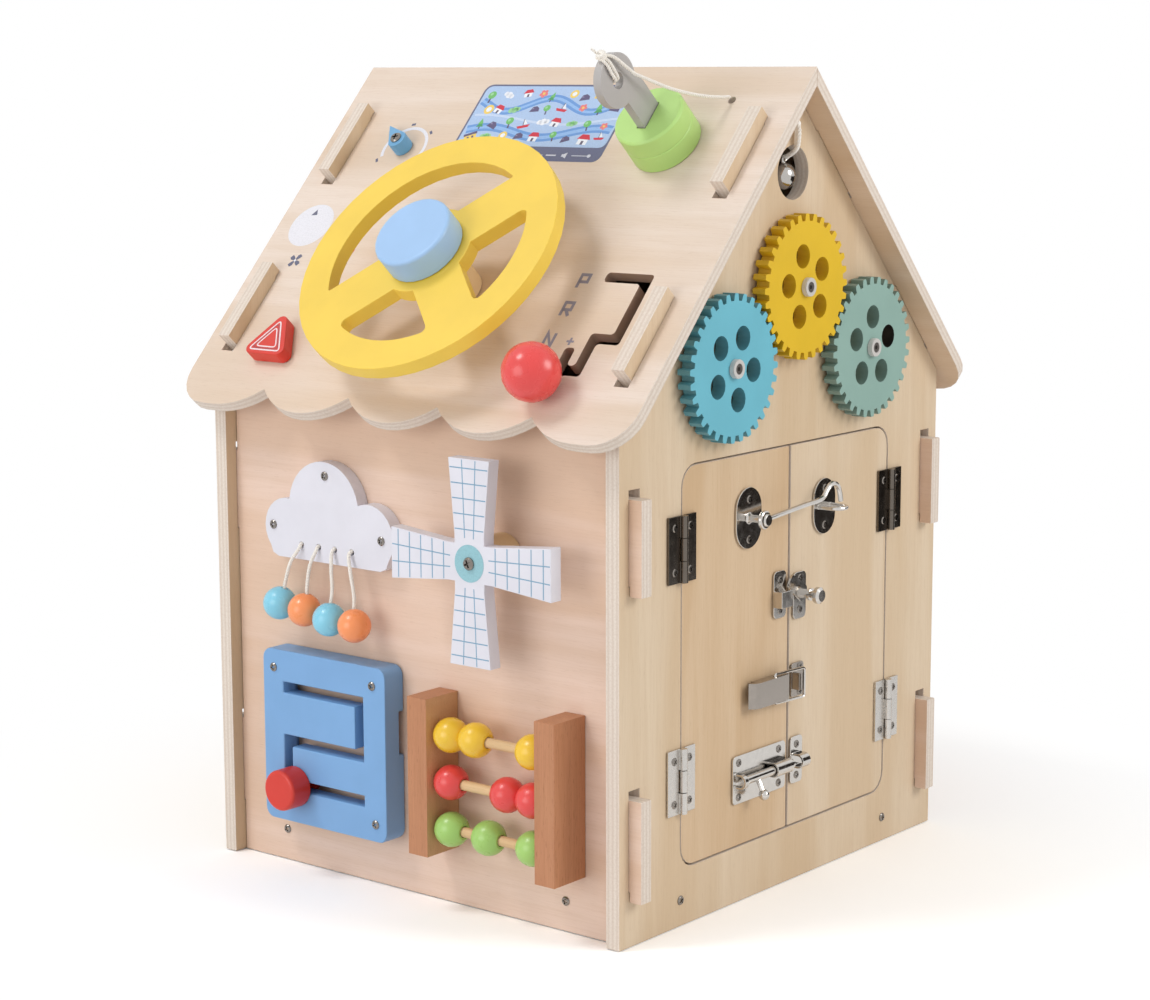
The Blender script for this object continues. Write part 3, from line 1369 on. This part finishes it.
def build_wheel():
    plane = roof_place(WHEEL_SPOT)
    quarter = math.pi / 2
    spokes = [WHEEL_TURN, WHEEL_TURN + quarter, WHEEL_TURN + 3 * quarter, WHEEL_TURN + 4 * quarter]
    corners = (WHEEL_CORNER, WHEEL_CORNER_TIGHT, WHEEL_CORNER)
    holes = [wheel_gap(a, b, corner) for a, b, corner in zip(spokes, spokes[1:], corners)]
    low = WHEEL_PROUD - WHEEL_THICK
    holes.append(circle(DOWEL_RADIUS / 2, SMALL))
    wheel = slab(plane, circle(WHEEL_RADIUS, FINE), low, WHEEL_PROUD, holes)
    pivot = plane.at(0, 0, WHEEL_PROUD)
    add("steering_wheel", wheel, WHEEL_YELLOW, pivot)
    neck = DOWEL_RADIUS / 2 - SEAT_GAP
    hub = [(0, SEAT_GAP), (DOWEL_RADIUS, SEAT_GAP), (DOWEL_RADIUS, low - SEAT_GAP), (neck, low - SEAT_GAP)]
    seat = WHEEL_PROUD + SEAT_GAP
    hub += [(neck, seat), (HUB_RADIUS, seat), (HUB_RADIUS, HUB_PROUD - SHEET)]
    hub += [(HUB_RADIUS - SHEET, HUB_PROUD), (0, HUB_PROUD)]
    add("wheel_hub", spin(plane, hub), SKY, pivot)


def build_lock():
    plane = roof_place(LOCK_SPOT)
    half = LOCK_TALL / 2
    seam = LOCK_RADIUS - LOCK_SEAM
    profile = [(0, SEAT_GAP), (LOCK_RADIUS, SEAT_GAP), (LOCK_RADIUS, half - LOCK_SEAM), (seam, half)]
    profile += [(LOCK_RADIUS, half + LOCK_SEAM), (LOCK_RADIUS, LOCK_TALL - SHEET)]
    profile += [(LOCK_RADIUS - SHEET, LOCK_TALL), (0, LOCK_TALL)]
    barrel = spin(plane, profile, ROUND)
    width, length = LOCK_SLOT
    slot = box(-width / 2, width / 2, -length / 2, length / 2)
    pocket = slab(plane, slot, LOCK_TALL - LOCK_SLOT_DEPTH, LOCK_TALL + OVERRUN)
    add("lock_barrel", cut(barrel, pocket), GREEN, plane.at(0, 0, LOCK_TALL))


def build_key():
    """A flat key standing in the lock, its sheet across the slope."""
    plane = roof_place(LOCK_SPOT).end_on()
    bow = (-KEY_BOW_SHIFT, KEY_BOW_LEVEL)
    overhang = math.asin((KEY_BIT_HALF - KEY_BOW_SHIFT) / KEY_BOW)
    outline = [(-KEY_BIT_HALF, KEY_FOOT), (KEY_BIT_HALF, KEY_FOOT), (KEY_BIT_HALF, KEY_SHOULDER)]
    outline += arc(bow, KEY_BOW, KEY_BOW_START, 1.5 * math.pi - overhang, ROUND)
    hole = circle(KEY_BOW_HOLE, SMALL, bow)
    blade = slab(plane, outline, -KEY_THICK / 2, KEY_THICK / 2, [hole])
    add("key", blade, GREY, plane.at(0, LOCK_TALL))


def build_key_cord():
    route = [ROOF.at(across, -down, out) for across, down, out in KEY_CORD_ROUTE]
    pivot = roof_place(LOCK_SPOT).at(0, 0, LOCK_TALL)
    add("key_cord", cord(route, KEY_CORD), COTTON, pivot, 0.9)


def build_pointer():
    plane = roof_place(POINTER_SPOT)
    opening = math.acos(POINTER_BASE / POINTER_TIP)
    tip_round = POINTER_BASE / 8
    aimed = plane.turned(POINTER_AIM)
    outline = arc((0, 0), POINTER_BASE, opening, 2 * math.pi - opening, BEAD_SIDES)
    outline.append((POINTER_TIP, 0))
    knob = slab(aimed, outline, SEAT_GAP, POINTER_TALL)
    slope_plane = Plane(plane.origin, aimed.across, plane.out)
    shave = [(0, POINTER_TALL - tip_round), (POINTER_TIP + OVERRUN, POINTER_TIP_TALL - OVERRUN / 2)]
    shave += [(POINTER_TIP + OVERRUN, POINTER_TALL + OVERRUN), (0, POINTER_TALL + OVERRUN)]
    wedge = slab(slope_plane, shave, -POINTER_TIP, POINTER_TIP)
    add("pointer_knob", cut(knob, wedge), SKY, plane.at(0, 0, 0))


def build_hazard():
    corners = [(HAZARD_LEAN, HAZARD_TALL), (-HAZARD_HALF, 0), (HAZARD_HALF, 0)]
    outline = rounded(corners, HAZARD_CORNER)
    add("hazard_button", slab(roof_place(HAZARD_SPOT), outline, SEAT_GAP, HAZARD_THICK), RED)


def build_shift():
    plane = roof_place((SHIFT_COLUMN, SHIFT_STOP_LOW))
    low = SHIFT_BALL_LEVEL
    angles = [math.pi * i / TINY - math.pi / 2 for i in range(1, TINY)]
    start = [(SHIFT_BALL * math.cos(a), low + SHIFT_BALL * math.sin(a)) for a in angles]
    under = -ROOF_PLY - SEAT_GAP
    foot = under - SHIFT_DISC_THICK
    neck = low - math.sqrt(SHIFT_BALL ** 2 - SHIFT_STEM ** 2)
    profile = [(0, foot), (SHIFT_DISC, foot), (SHIFT_DISC, under), (SHIFT_STEM, under), (SHIFT_STEM, neck)]
    add("shift_lever", spin(plane, profile + start + [(0, low + SHIFT_BALL)]), RED, plane.at(0, 0, 0))


# Everything, piece by piece
def clear_scene():
    for item in list(bpy.data.objects):
        bpy.data.objects.remove(item)


def build():
    clear_scene()
    build_shell()
    build_right_gable()
    build_doors()
    build_hinges()
    build_hook()
    build_hook_eye()
    build_turn_catch()
    build_turn_staple()
    build_toggle_base()
    build_toggle_lever()
    build_toggle_bail()
    build_toggle_catch()
    build_bolt()
    build_gears()
    build_bell()
    build_cloud()
    build_windmill()
    build_maze()
    build_abacus()
    build_beads()
    build_wheel()
    build_lock()
    build_key()
    build_key_cord()
    build_pointer()
    build_hazard()
    build_shift()


build()
